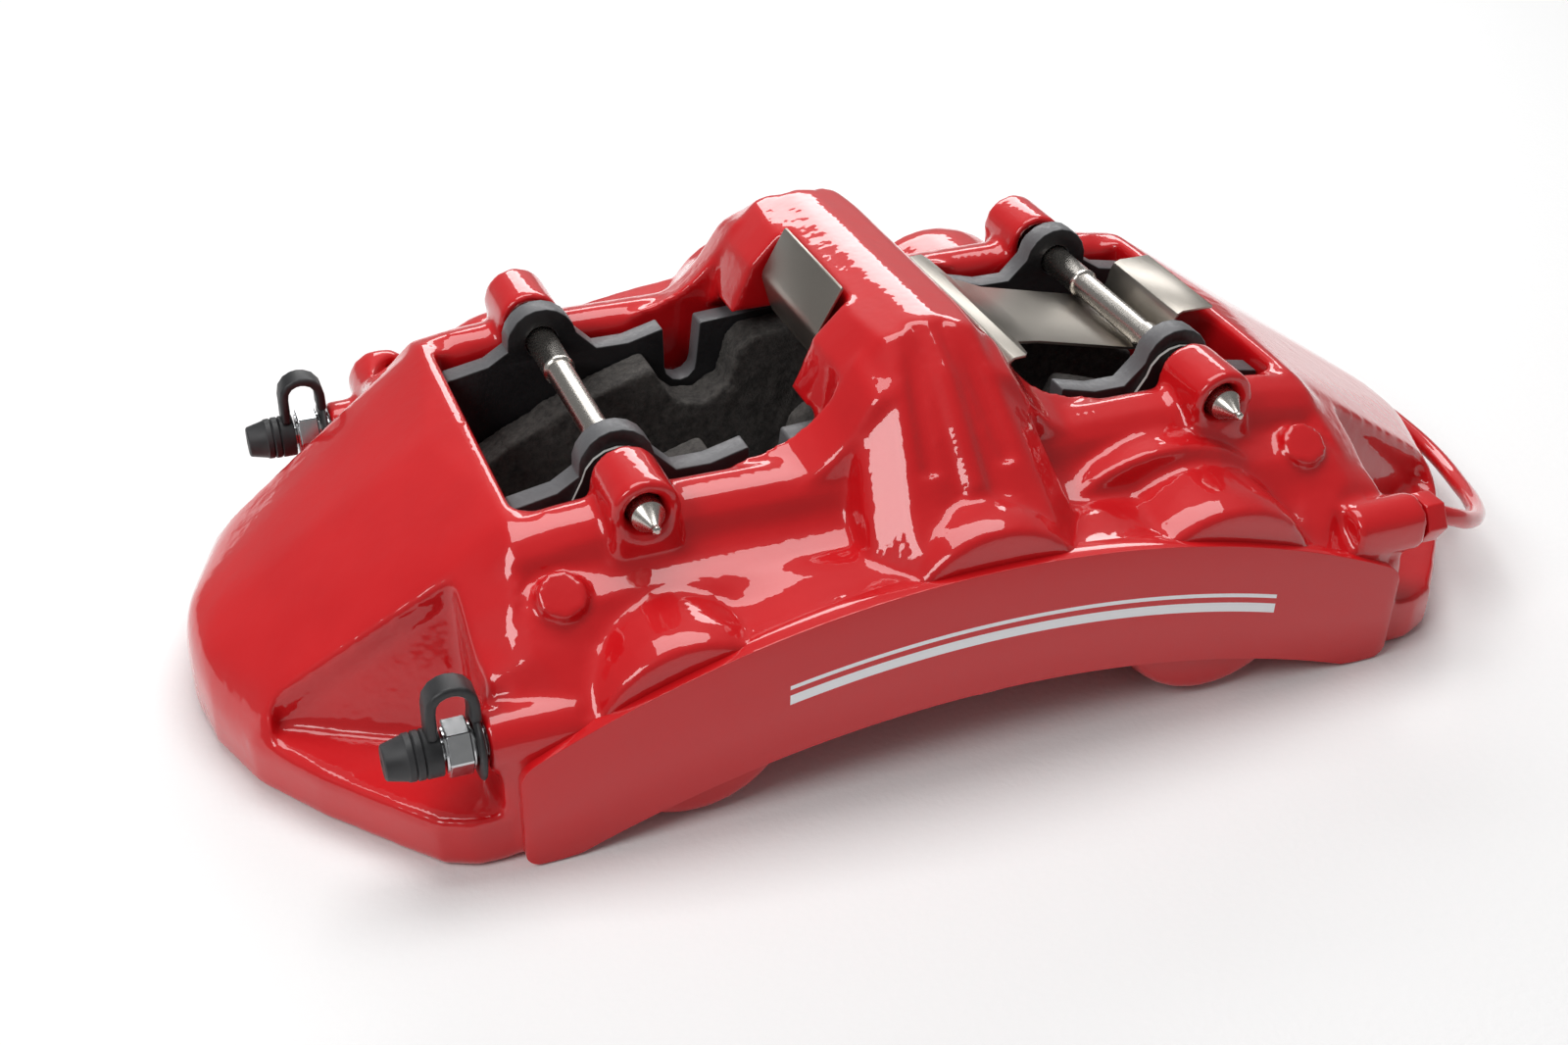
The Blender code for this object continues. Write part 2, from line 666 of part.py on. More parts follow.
def add_pad_spring(bm):
    """One folded sheet: kneed lip, saddle under the bridge, tongue under a pin, upturned plate."""
    lip = [
        (LIP_X, 90 * MM, 18 * MM),
        (-17.2 * MM, 79.4 * MM, 18 * MM),
        (-17.6 * MM, 77.4 * MM, 18 * MM),
        (-15.6 * MM, 70.6 * MM, 18 * MM),
        (-12.6 * MM, 66.8 * MM, 18 * MM),
    ]
    saddle = [(-8 * MM, 65.3 * MM, 18 * MM), (12 * MM, 65 * MM, 18 * MM), (21 * MM, 65.6 * MM, 22 * MM)]
    crest = [
        (26.3 * MM, 66.8 * MM, 30 * MM),
        (28.5 * MM, 70 * MM, 30 * MM),
        (32.5 * MM, 70.4 * MM, 30 * MM),
        (35.5 * MM, 68 * MM, 19 * MM),
    ]
    tongue = [
        (43 * MM, 65.5 * MM, SPRING_HALF),
        (70 * MM, 58.9 * MM, SPRING_HALF),
        (79 * MM, 58.4 * MM, SPRING_HALF),
        (81.2 * MM, 60.5 * MM, SPRING_HALF),
        (82.4 * MM, 65.4 * MM, SPRING_HALF),
        (84.5 * MM, 66.9 * MM, SPRING_HALF),
        (93.5 * MM, 66.9 * MM, SPRING_HALF),
    ]
    path = lip + saddle + crest + tongue
    lower, upper = [], []
    for i, (x, z, half) in enumerate(path):
        before = path[max(i - 1, 0)]
        after = path[min(i + 1, len(path) - 1)]
        along = Vector((after[0] - before[0], after[1] - before[1])).normalized()
        lower.append([bm.verts.new((x, y, z)) for y in (-half, half)])
        top = (x - along.y * SPRING_THICKNESS, z + along.x * SPRING_THICKNESS)
        upper.append([bm.verts.new((top[0], y, top[1])) for y in (-half, half)])
    for i in range(len(path) - 1):
        a, b, c, d = lower[i], lower[i + 1], upper[i + 1], upper[i]
        for one, two in ((a, b), (c, d)):
            bm.faces.new((one[0], two[0], two[1], one[1]))
        for edge in (0, 1):
            bm.faces.new((a[edge], b[edge], c[edge], d[edge]))
    for low, high in ((lower[0], upper[0]), (lower[-1], upper[-1])):
        bm.faces.new((low[0], low[1], high[1], high[0]))


# --- Bleed screws, caps, pipe and plug --------------------------------------


def place_origin(obj, point):
    """Moves an object's origin to a point, and leaves its surface where it is."""
    obj.data.transform(Matrix.Translation(-Vector(point)))
    obj.location = point


def add_strap(bm, x, y, z):
    """The strap that loops up from the ring on the boss and down to the cap."""
    top = z + 11.5 * MM
    outline = [(x - 0.4 * MM, z + 6.5 * MM)]
    outline += arc(x - 6 * MM, top, 5.6 * MM, 0, 180, 8)
    outline += [(x - 11.6 * MM, z + 4.2 * MM), (x - 9.6 * MM, z + 4.2 * MM)]
    outline += arc(x - 6 * MM, top, 3.6 * MM, 180, 0, 8)
    outline += [(x - 2.2 * MM, z + 6.5 * MM)]
    add_prism(bm, outline, "Y", y - 3.2 * MM, y + 3.2 * MM)


def build_bleeds(steel, rubber):
    """Bleed screws with a hexagon and a barbed nipple, under hollow caps on straps."""
    hex_radius = BLEED_HEX / math.sqrt(3)
    shank = [
        (-15 * MM, 0),
        (-15 * MM, 1 * MM),
        (-12 * MM, BLEED_HOLE_RADIUS),
        (2.4 * MM, BLEED_HOLE_RADIUS),
        (2.4 * MM, BLEED_HEX / 2 - 0.4 * MM),
        (8.4 * MM, BLEED_HEX / 2 - 0.4 * MM),
        (8.4 * MM, 2.6 * MM),
        (12.5 * MM, 2.6 * MM),
        (13 * MM, 3.3 * MM),
        (15.5 * MM, 2.4 * MM),
        (15.5 * MM, 0),
    ]
    shell = [
        (9.0 * MM, 5.4 * MM),
        (13.0 * MM, 5.4 * MM),
        (13.6 * MM, 4.8 * MM),
        (20.5 * MM, 4.2 * MM),
        (21.0 * MM, 0.6 * MM),
        (16.6 * MM, 0.6 * MM),
        (16.6 * MM, 3.7 * MM),
        (9.0 * MM, 3.7 * MM),
    ]
    ring = [(0.4 * MM, 4.2 * MM), (2.0 * MM, 4.2 * MM), (2.0 * MM, 8.2 * MM), (0.4 * MM, 8.2 * MM)]
    away = (-1, 0, 0)
    for name, x, y, z in BLEEDS:
        centre = (x, y, z)
        screw = new_solid(f"{name}_bleed_screw", add_turned, shank, centre, away, 16, material=steel)
        flats = helper_collection(f"{name}_bleed_hexagon")
        new_solid(f"{name}_hexagon", add_rod, centre, away, hex_radius, 2.8 * MM, 8 * MM, 6, collection=flats)
        use_helpers(screw, flats, "UNION")
        cap = new_solid(
            f"{name}_bleed_cap", add_turned, shell, centre, away, 16, closed=True, material=rubber
        )
        strap = helper_collection(f"{name}_cap_strap")
        new_solid(f"{name}_strap", add_strap, x, y, z, collection=strap)
        new_solid(f"{name}_strap_ring", add_turned, ring, centre, away, 16, closed=True, collection=strap)
        use_helpers(cap, strap, "UNION")


def pipe_path():
    """The pipe's middle line: out of one port, round the right-hand nose and into the other."""
    bends = [
        (124, 77, 34), (130, 76.8, 31.8), (137, 74.5, 28), (148, 66.5, 22), (158, 54.5, 16.5),
        (166, 39.5, 12.5), (171.5, 22, 11), (173.3, 8, 10.8),
    ]  # fmt: skip
    half = [Vector((109, 77, 34)), Vector((118, 77, 34))]
    half += [Vector(point) for point in bends]
    points = [Vector((point.x, -point.y, point.z)) * MM for point in half]
    points += [point * MM for point in reversed(half)]
    path = []
    for i in range(len(points) - 1):
        before = points[max(i - 1, 0)]
        start, end = points[i], points[i + 1]
        after = points[min(i + 2, len(points) - 1)]
        path.append(start)
        if i in (0, 1, len(points) - 2, len(points) - 3):
            continue
        path.append((9 * (start + end) - before - after) / 16)
    path.append(points[-1])
    return path


def build_pipe(paint):
    path = pipe_path()
    curve = bpy.data.curves.new("crossover_pipe", "CURVE")
    curve.dimensions = "3D"
    curve.bevel_depth = PIPE_RADIUS
    curve.bevel_resolution = 1
    curve.use_fill_caps = True
    spline = curve.splines.new("POLY")
    spline.points.add(len(path) - 1)
    for point, place in zip(spline.points, path):
        point.co = (*place, 1)
    spline.use_smooth = True
    pipe = bpy.data.objects.new("crossover_pipe", curve)
    bpy.context.scene.collection.objects.link(pipe)
    curve.materials.append(paint)


def build_pipe_nuts(paint):
    """Tube nuts: a plain shank in the port, and a hexagon in front of it."""
    bore = PIPE_RADIUS + GAP
    shank_radius = PORT_HOLE_RADIUS - 0.7 * MM
    shank = [(-10 * MM, bore), (6.4 * MM, bore), (6.4 * MM, shank_radius), (-10 * MM, shank_radius)]
    hex_radius = NUT_HEX / math.sqrt(3)
    flats = [
        (0.5 * MM, bore + 0.8 * MM),
        (6 * MM, bore + 0.8 * MM),
        (6 * MM, hex_radius),
        (0.5 * MM, hex_radius),
    ]
    for name, across in (("outboard", -1), ("inboard", 1)):
        centre = (PORT_X, across * PORT_Y, PORT_Z)
        axis = (1, 0, 0)
        nut = new_solid(f"{name}_pipe_nut", add_turned, shank, centre, axis, 16, closed=True, material=paint)
        hexagon = helper_collection(f"{name}_nut_hexagon")
        new_solid(f"{name}_nut_flats", add_turned, flats, centre, axis, 6, closed=True, collection=hexagon)
        use_helpers(nut, hexagon, "UNION")


def build_hose_plug(plastic):
    """The transit plug in the brake hose's port."""
    flange = PORT_HOLE_RADIUS + 0.6 * MM
    stem = PORT_HOLE_RADIUS - 0.4 * MM
    profile = [
        (-5.4 * MM, 0),
        (-5.4 * MM, stem),
        (0.3 * MM, stem),
        (0.3 * MM, flange),
        (3.6 * MM, flange),
        (4.2 * MM, flange - 0.8 * MM),
        (4.2 * MM, 0),
    ]
    new_solid("hose_port_plug", add_turned, profile, HOSE_PORT, (0, 1, 0), 20, material=plastic)


def hang_on_frame():
    """Parents every piece and every helper to one empty at the casting's middle."""
    pieces = list(bpy.data.objects)
    frame = bpy.data.objects.new("casting_middle", None)
    frame.location = (CASTING_MIDDLE_X, 0, 0)
    bpy.context.scene.collection.objects.link(frame)
    for piece in pieces:
        piece.parent = frame


clear_scene()
RED_PAINT = new_material("red_paint", (0.45, 0.012, 0.016), 0.25, 0)
PISTON_STEEL = new_material("piston_steel", (0.62, 0.62, 0.6), 0.25, 1)
SEAL_RUBBER = new_material("seal_rubber", (0.03, 0.03, 0.03), 0.6, 0)
BOOT_RUBBER = new_material("boot_rubber", (0.02, 0.02, 0.02), 0.7, 0)
PLATE_COATING = new_material("plate_coating", (0.03, 0.03, 0.032), 0.5, 0)
FRICTION = new_material("friction_lining", (0.09, 0.085, 0.08), 0.9, 0)
SHIM_COATING = new_material("shim_coating", (0.015, 0.015, 0.015), 0.4, 0)
PIN_STEEL = new_material("pin_steel", (0.6, 0.59, 0.56), 0.3, 1)
SPRING_STEEL = new_material("spring_steel", (0.66, 0.65, 0.62), 0.35, 1)
SCREW_STEEL = new_material("screw_steel", (0.5, 0.5, 0.5), 0.35, 1)
CAP_RUBBER = new_material("cap_rubber", (0.015, 0.015, 0.015), 0.6, 0)
PIPE_PAINT = new_material("pipe_paint", (0.45, 0.012, 0.016), 0.3, 0)
PLUG_PLASTIC = new_material("plug_plastic", (0.02, 0.02, 0.02), 0.5, 0)

build_body(RED_PAINT)
for SIDE_NAME, SIDE in (("outboard", -1), ("inboard", 1)):
    build_cylinders(SIDE_NAME, SIDE, PISTON_STEEL, SEAL_RUBBER, BOOT_RUBBER)
    build_pad(SIDE_NAME, SIDE, PLATE_COATING, FRICTION, SHIM_COATING)
build_pins(PIN_STEEL, SPRING_STEEL)
new_solid("pad_spring", add_pad_spring, material=SPRING_STEEL)
build_bleeds(SCREW_STEEL, CAP_RUBBER)
build_pipe(PIPE_PAINT)
build_pipe_nuts(PIPE_PAINT)
build_hose_plug(PLUG_PLASTIC)
hang_on_frame()
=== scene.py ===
import math

import bpy
from mathutils import Matrix, Vector


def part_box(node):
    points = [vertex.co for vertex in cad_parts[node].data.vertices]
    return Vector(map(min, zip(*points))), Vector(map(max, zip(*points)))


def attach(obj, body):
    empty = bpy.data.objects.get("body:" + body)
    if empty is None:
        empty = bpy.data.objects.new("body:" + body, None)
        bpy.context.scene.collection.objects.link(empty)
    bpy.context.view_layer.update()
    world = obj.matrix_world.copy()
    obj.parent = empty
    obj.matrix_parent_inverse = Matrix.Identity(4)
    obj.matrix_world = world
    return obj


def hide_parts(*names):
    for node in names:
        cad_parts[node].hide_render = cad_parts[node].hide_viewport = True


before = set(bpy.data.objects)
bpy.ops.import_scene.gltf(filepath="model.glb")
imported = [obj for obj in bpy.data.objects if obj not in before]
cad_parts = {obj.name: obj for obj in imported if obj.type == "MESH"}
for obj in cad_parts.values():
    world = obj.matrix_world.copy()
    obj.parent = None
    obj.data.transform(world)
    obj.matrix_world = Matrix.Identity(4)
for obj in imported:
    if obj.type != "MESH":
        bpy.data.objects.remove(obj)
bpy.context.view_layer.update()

# --- The casting -------------------------------------------------------------
# One aluminium casting carries everything. Its corners are soft from the sand
# mould, and a thick gloss paint rounds them further.
MM = 0.001
casting_low, casting_high = (Vector(corner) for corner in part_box("caliper_body"))
# Each piece is shaped about the middle of the casting, and then moved into place
CENTRE = Vector(((casting_low.x + casting_high.x) / 2, 0, 0))


def pick_only(piece):
    bpy.ops.object.select_all(action="DESELECT")
    piece.select_set(True)
    bpy.context.view_layer.objects.active = piece


def open_edit():
    bpy.ops.object.mode_set(mode="EDIT")
    bpy.ops.mesh.select_all(action="SELECT")


def close_edit():
    """Turns every face outwards and leaves edit mode."""
    bpy.ops.mesh.select_all(action="SELECT")
    bpy.ops.mesh.normals_make_consistent(inside=False)
    bpy.ops.object.mode_set(mode="OBJECT")


def copy_of_node(node, name):
    """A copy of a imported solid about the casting's middle, its loose triangles sewn together."""
    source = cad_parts[node]
    piece = bpy.data.objects.new(name, source.data.copy())
    bpy.context.scene.collection.objects.link(piece)
    piece.data.materials.clear()
    pick_only(piece)
    open_edit()
    bpy.ops.mesh.remove_doubles(threshold=0.01 * MM)
    bpy.ops.transform.translate(value=-CENTRE)
    bpy.ops.object.mode_set(mode="OBJECT")
    return piece


def add_modifier(piece, name, kind, **settings):
    modifier = piece.modifiers.new(name, kind)
    for setting, value in settings.items():
        setattr(modifier, setting, value)


def apply_all(piece):
    pick_only(piece)
    for modifier in list(piece.modifiers):
        bpy.ops.object.modifier_apply(modifier=modifier.name)


def settle(piece):
    """Puts the piece's place and turn into its mesh."""
    pick_only(piece)
    bpy.ops.object.transform_apply(location=True, rotation=True, scale=True)


def cut_with(piece, cutter):
    add_modifier(piece, "cut", "BOOLEAN", object=cutter, solver="MANIFOLD")
    apply_all(piece)
    bpy.data.objects.remove(cutter, do_unlink=True)


def join_into(piece, *others):
    pick_only(piece)
    for other in others:
        other.select_set(True)
    bpy.ops.object.join()


def finish_piece(piece, body, slot, material, *nodes):
    piece.location = CENTRE
    settle(piece)
    piece.data.materials.clear()
    piece.data.materials.append(material)
    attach(piece, body)
    if nodes:
        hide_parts(*nodes)


def add_block(low, high):
    """A block between two corners, in millimetres."""
    bpy.ops.object.select_all(action="DESELECT")
    middle = [(a + b) / 2 * MM for a, b in zip(low, high)]
    bpy.ops.mesh.primitive_cube_add(size=1, location=middle)
    box = bpy.context.object
    box.scale = [(b - a) * MM for a, b in zip(low, high)]
    settle(box)
    return box


def add_drum(radius, depth, middle=(0, 0, 0), turn=(0, 0, 0), sides=40):
    """A plain cylinder at its size and place."""
    bpy.ops.object.select_all(action="DESELECT")
    bpy.ops.mesh.primitive_cylinder_add(
        vertices=sides, radius=radius, depth=depth, location=middle, rotation=turn
    )
    drum = bpy.context.object
    settle(drum)
    return drum


def point_along(piece, axis, place):
    """Stands a piece that was made along Z on its own axis."""
    turn = Vector((0, 0, 1)).rotation_difference(Vector(axis))
    piece.matrix_world = Matrix.Translation(place) @ turn.to_matrix().to_4x4()
    settle(piece)


def add_bar(start, end, radius):
    """A round bar between two points, in millimetres."""
    start, end = Vector(start) * MM, Vector(end) * MM
    bar = add_drum(radius * MM, (end - start).length, sides=24)
    point_along(bar, end - start, (start + end) / 2)
    return bar


def start_sheet(name, points, edges, faces):
    """A new piece from its first points, open for editing with all of it picked."""
    mesh = bpy.data.meshes.new(name)
    mesh.from_pydata(points, edges, faces)
    piece = bpy.data.objects.new(name, mesh)
    bpy.context.scene.collection.objects.link(piece)
    pick_only(piece)
    open_edit()
    return piece


def pull_out(move):
    bpy.ops.mesh.extrude_region_move(TRANSFORM_OT_translate={"value": move})


casting = copy_of_node("caliper_body", "casting")

# The milled face is a piece of its own, so the casting stops behind it
FACE_WASTE = ((-120, -95, -5), (120, -83.4, 60))
cut_with(casting, add_block(*FACE_WASTE))

# The crest of the bridge is crowned
CREST_HALF = 2.5 * MM
CREST_HEIGHT = 90.4 * MM
CREST_LEAN = (0.24, 0.97)
pick_only(casting)
bpy.ops.object.mode_set(mode="EDIT")
for sign in (-1, 1):
    bpy.ops.mesh.select_all(action="SELECT")
    bpy.ops.mesh.bisect(
        plane_co=(sign * CREST_HALF, 0, CREST_HEIGHT),
        plane_no=(sign * CREST_LEAN[0], 0, CREST_LEAN[1]),
        use_fill=True, clear_outer=True,
    )
bpy.ops.object.mode_set(mode="OBJECT")


def mirrored(point, sign, across):
    """The same point to the left or right, and towards the outboard or inboard half."""
    x, y, z = point
    return sign * x, across * y, z


# Shallow flutes fan down both flanks of the bridge
FLUTE_TOP = (5.8, 43, 91.2)
FLUTE_FOOT = (9.5, 67, 67.4)
FLUTE_RADIUS = 3.0
for across in (-1, 1):
    for sign in (-1, 1):
        top, foot = mirrored(FLUTE_TOP, sign, across), mirrored(FLUTE_FOOT, sign, across)
        cut_with(casting, add_bar(top, foot, FLUTE_RADIUS))

# A slab and rods fill the middle of the bridge
CREST_SLAB = ((-3.2, -39, 84), (3.2, 39, 90.5))
CREST_ROD = (3.6, 39, 87.2)
CREST_ROD_RADIUS = 3.0
RIDGE_LINE = ((0, 38, 88.0), (0, 50, 80.6), (0, 69, 61.8))
RIDGE_RADIUS = 2.9
bridge_fill = [add_block(*CREST_SLAB)]
for sign in (-1, 1):
    ends = mirrored(CREST_ROD, sign, -1), mirrored(CREST_ROD, sign, 1)
    bridge_fill.append(add_bar(*ends, CREST_ROD_RADIUS))
for across in (-1, 1):
    knots = [mirrored(point, 1, across) for point in RIDGE_LINE]
    for start, end in zip(knots, knots[1:]):
        bridge_fill.append(add_bar(start, end, RIDGE_RADIUS))

# Sweeping fillets rise from the shoulders to its sides
FILLET_OUTLINE = (
    (12, 58), (12, 86), (17.2, 83.5), (20.3, 79), (23.6, 74), (27.8, 69.6), (33, 66.2),
    (39, 64), (46, 62.6), (46, 58),
)
FILLET_Y = 38.8
FILLET_LENGTH = 13
FILLET_DROP = 5
for sign in (-1, 1):
    for across in (-1, 1):
        points = [(sign * x * MM, across * FILLET_Y * MM, z * MM) for x, z in FILLET_OUTLINE]
        bridge_fill.append(start_sheet("fillet", points, [], [list(range(len(points)))]))
        pull_out((0, across * FILLET_LENGTH * MM, -FILLET_DROP * MM))
        close_edit()

# The broad shoulder behind the largest boss
SHOULDER_RADIUS = 38.5 * MM
SHOULDER_DEPTH = 24 * MM
SHOULDER_MIDDLE = (54 * MM, -50.5 * MM, 20 * MM)
SHOULDER_FOOT = 22 * MM
shoulder = add_drum(SHOULDER_RADIUS, SHOULDER_DEPTH, SHOULDER_MIDDLE, (math.pi / 2, 0, 0), 64)
open_edit()
bpy.ops.mesh.bisect(
    plane_co=(0, 0, SHOULDER_FOOT), plane_no=(0, 0, 1), use_fill=True, clear_inner=True
)
close_edit()

# The little round pads for the core pins, each in a hollow of the sloping shoulder
CORE_PADS = ((-93 * MM, -61.5 * MM, 51 * MM), (93 * MM, -61.5 * MM, 51 * MM))
CORE_PAD_RADIUS = 5.6 * MM
CORE_HOLLOW_RADIUS = 8.5 * MM
CORE_DEPTH = 10 * MM
# Across the caliper and up, from the middle of the pad's face
CORE_HOLLOW_SHIFT = (-2.5 * MM, 5.5 * MM)
CORE_PAD_SHIFT = (2.3 * MM, -2.6 * MM)
SHOULDER_SLOPE = (math.radians(35), 0, 0)
core_pads = []
for x, y, z in CORE_PADS:
    above = (x, y + CORE_HOLLOW_SHIFT[0], z + CORE_HOLLOW_SHIFT[1])
    below = (x, y + CORE_PAD_SHIFT[0], z + CORE_PAD_SHIFT[1])
    cut_with(casting, add_drum(CORE_HOLLOW_RADIUS, CORE_DEPTH, above, SHOULDER_SLOPE))
    core_pads.append(add_drum(CORE_PAD_RADIUS, CORE_DEPTH, below, SHOULDER_SLOPE))

join_into(casting, shoulder, *core_pads, *bridge_fill)

SKIN_GRAIN = 1.0 * MM
add_modifier(casting, "skin", "REMESH", mode="VOXEL", voxel_size=SKIN_GRAIN)
apply_all(casting)

# The skin is soft, but firmer in the windows and by the core pads, and softest at the nose
CORE_PAD_REACH = 10 * MM
WINDOWS = (97 * MM, 37.5 * MM, 66 * MM)
NOSE_X = 112 * MM
NOSE_HALF = 37 * MM
NOSE_FOOT = 9 * MM
SKIN_TURNS = {"firm": 3, "soft": 14, "domed": 60}
skin_points = {name: [] for name in SKIN_TURNS}
for point in casting.data.vertices:
    x, y, z = point.co
    by_pad = min((point.co - Vector(pad)).length for pad in CORE_PADS) < CORE_PAD_REACH
    in_window = abs(x) < WINDOWS[0] and abs(y) < WINDOWS[1] and z < WINDOWS[2]
    skin_points["firm" if by_pad or in_window else "soft"].append(point.index)
    if abs(x) > NOSE_X and abs(y) < NOSE_HALF and z > NOSE_FOOT:
        skin_points["domed"].append(point.index)
for name, turns in SKIN_TURNS.items():
    casting.vertex_groups.new(name=name).add(skin_points[name], 1, "REPLACE")
    add_modifier(casting, name, "SMOOTH", factor=0.5, iterations=turns, vertex_group=name)
apply_all(casting)

MOST_TRIANGLES = 190000
thinned = min(1.0, MOST_TRIANGLES / (2 * len(casting.data.polygons)))
add_modifier(casting, "thin", "DECIMATE", ratio=thinned)
apply_all(casting)
bpy.ops.object.shade_smooth()


def new_material(name, colour, roughness, metallic=0.0):
    """A finish with its shader, and the object's own coordinates to pattern it by."""
    material = bpy.data.materials.new(name)
    material.use_nodes = True
    nodes = material.node_tree.nodes
    shader = nodes["Principled BSDF"]
    shader.inputs["Base Color"].default_value = (*colour, 1)
    shader.inputs["Roughness"].default_value = roughness
    shader.inputs["Metallic"].default_value = metallic
    place = nodes.new("ShaderNodeTexCoord")
    return material, nodes, material.node_tree.links, shader, place.outputs["Object"]


def add_noise(nodes, links, place, scale, detail=3.0, roughness=0.5):
    noise = nodes.new("ShaderNodeTexNoise")
    noise.inputs["Scale"].default_value = scale
    noise.inputs["Detail"].default_value = detail
    noise.inputs["Roughness"].default_value = roughness
    links.new(place, noise.inputs["Vector"])
    return noise.outputs["Fac"]


def add_ramp(nodes, links, value, low, high, at):
    ramp = nodes.new("ShaderNodeValToRGB")
    ramp.color_ramp.elements[0].position = at[0]
    ramp.color_ramp.elements[0].color = (*low, 1)
    ramp.color_ramp.elements[1].position = at[1]
    ramp.color_ramp.elements[1].color = (*high, 1)
    links.new(value, ramp.inputs["Fac"])
    return ramp.outputs["Color"]


def vary_colour(nodes, links, value, shader, low, high, at=(0.3, 0.7)):
    links.new(add_ramp(nodes, links, value, low, high, at), shader.inputs["Base Color"])


def vary_roughness(nodes, links, value, shader, low, high):
    ramp = add_ramp(nodes, links, value, (low,) * 3, (high,) * 3, (0.3, 0.7))
    links.new(ramp, shader.inputs["Roughness"])


def add_bump(nodes, links, height, shader, strength, distance):
    bump = nodes.new("ShaderNodeBump")
    bump.inputs["Strength"].default_value = strength
    bump.inputs["Distance"].default_value = distance
    links.new(height, bump.inputs["Height"])
    links.new(bump.outputs["Normal"], shader.inputs["Normal"])
    return bump.outputs["Normal"]


RED = (0.55, 0.004, 0.007)


def red_gloss(name, peel):
    """Red under a clear coat, both rippled by as much orange peel as the piece has."""
    material, nodes, links, shader, place = new_material(name, RED, 0.45)
    patches = add_noise(nodes, links, place, 45, 4)
    vary_colour(nodes, links, patches, shader, (0.52, 0.003, 0.006), (0.57, 0.005, 0.008))
    vary_roughness(nodes, links, patches, shader, 0.40, 0.50)
    waves = add_noise(nodes, links, place, 160, 2, 0.6)
    rippled = add_bump(nodes, links, waves, shader, peel, 1 * MM)
    links.new(rippled, shader.inputs["Coat Normal"])
    shader.inputs["Coat Weight"].default_value = 1.0
    shader.inputs["Coat Roughness"].default_value = 0.03
    shader.inputs["Specular IOR Level"].default_value = 0.15
    return material


red_paint = red_gloss("red_cast_paint", 0.14)
finish_piece(casting, "root", "red_paint", red_paint, "caliper_body")

# --- The arched face ---------------------------------------------------------
# The outer face is milled flat after casting, so its edge is crisp, and it is
# painted with the rest. Two plain white stripes follow the arch.
FACE_Y = -85.5 * MM
FACE_HALF = 110 * MM
FACE_DEPTH = 5.5 * MM
FACE_FOOT = 0.3 * MM
TOP_CREST, TOP_RADIUS = 51.7 * MM, 248 * MM
FOOT_CREST, FOOT_RADIUS = 18.6 * MM, 275 * MM
FACE_STEPS = 48
CORNER = 3.5 * MM
CORNER_STEPS = 6
CORNER_SINK = 0.45


def arch(x, crest, radius):
    return crest - radius + math.sqrt(radius * radius - x * x)


# Foot and top side by side, with the corners rounded off at both ends
columns = []
for i in range(FACE_STEPS + 1):
    x = (FACE_HALF - CORNER) * (2 * i / FACE_STEPS - 1)
    foot = max(arch(x, FOOT_CREST, FOOT_RADIUS), FACE_FOOT)
    columns.append((x, foot, arch(x, TOP_CREST, TOP_RADIUS)))
for sign in (-1, 1):
    x, foot, top = columns[0] if sign < 0 else columns[-1]
    for i in range(1, CORNER_STEPS + 1):
        angle = math.radians(90 * i / CORNER_STEPS)
        inset = CORNER * (1 - math.cos(angle))
        sink = CORNER_SINK * CORNER * math.sin(angle)
        column = (x + sign * CORNER * math.sin(angle), foot + inset, top - inset - sink)
        columns.insert(0 if sign < 0 else len(columns), column)
face_points = [(x, FACE_Y, z) for x, foot, top in columns for z in (foot, top)]
quads = [(2 * i, 2 * i + 2, 2 * i + 3, 2 * i + 1) for i in range(len(columns) - 1)]
arched_face = start_sheet("arched_face", face_points, [], quads)
pull_out((0, FACE_DEPTH, 0))
close_edit()
add_modifier(
    arched_face, "corners", "BEVEL",
    width=0.8 * MM, segments=3, angle_limit=math.radians(40), harden_normals=True,
)
apply_all(arched_face)
bpy.ops.object.shade_smooth_by_angle(angle=math.radians(35))

# The stripes are rings about a point below the arch, kept to its middle
STRIPE_CENTRE_Z = -226.5 * MM
STRIPE_BAND = (257.5 * MM, 267.5 * MM)
STRIPE_STEPS = ((0.2, 1), (0.45, 0), (0.6, 1), (0.7, 0))
STRIPE_MIDDLE_X = 12 * MM
STRIPE_HALF = 62 * MM
STRIPE_WHITE = (0.82, 0.82, 0.84)
face_paint = red_gloss("red_face_paint", 0.05)
nodes, links = face_paint.node_tree.nodes, face_paint.node_tree.links
place = nodes.new("ShaderNodeTexCoord")
centred = nodes.new("ShaderNodeMapping")
centred.inputs["Location"].default_value = (-CENTRE.x, 0, -STRIPE_CENTRE_Z)
links.new(place.outputs["Object"], centred.inputs["Vector"])
flat = nodes.new("ShaderNodeVectorMath")
flat.operation = "MULTIPLY"
flat.inputs[1].default_value = (1, 0, 1)
links.new(centred.outputs["Vector"], flat.inputs[0])
reach = nodes.new("ShaderNodeVectorMath")
reach.operation = "LENGTH"
links.new(flat.outputs["Vector"], reach.inputs[0])
band = nodes.new("ShaderNodeMapRange")
band.inputs["From Min"].default_value = STRIPE_BAND[0]
band.inputs["From Max"].default_value = STRIPE_BAND[1]
links.new(reach.outputs["Value"], band.inputs["Value"])
stripes = nodes.new("ShaderNodeValToRGB")
stripes.color_ramp.interpolation = "CONSTANT"
stripes.color_ramp.elements[0].color = (0, 0, 0, 1)
stripes.color_ramp.elements.remove(stripes.color_ramp.elements[1])
for at, shade in STRIPE_STEPS:
    stripes.color_ramp.elements.new(at).color = (shade, shade, shade, 1)
links.new(band.outputs["Result"], stripes.inputs["Fac"])
parts = nodes.new("ShaderNodeSeparateXYZ")
links.new(centred.outputs["Vector"], parts.inputs["Vector"])
within = nodes.new("ShaderNodeMath")
within.operation = "COMPARE"
within.inputs[1].default_value = STRIPE_MIDDLE_X
within.inputs[2].default_value = STRIPE_HALF
links.new(parts.outputs["X"], within.inputs[0])
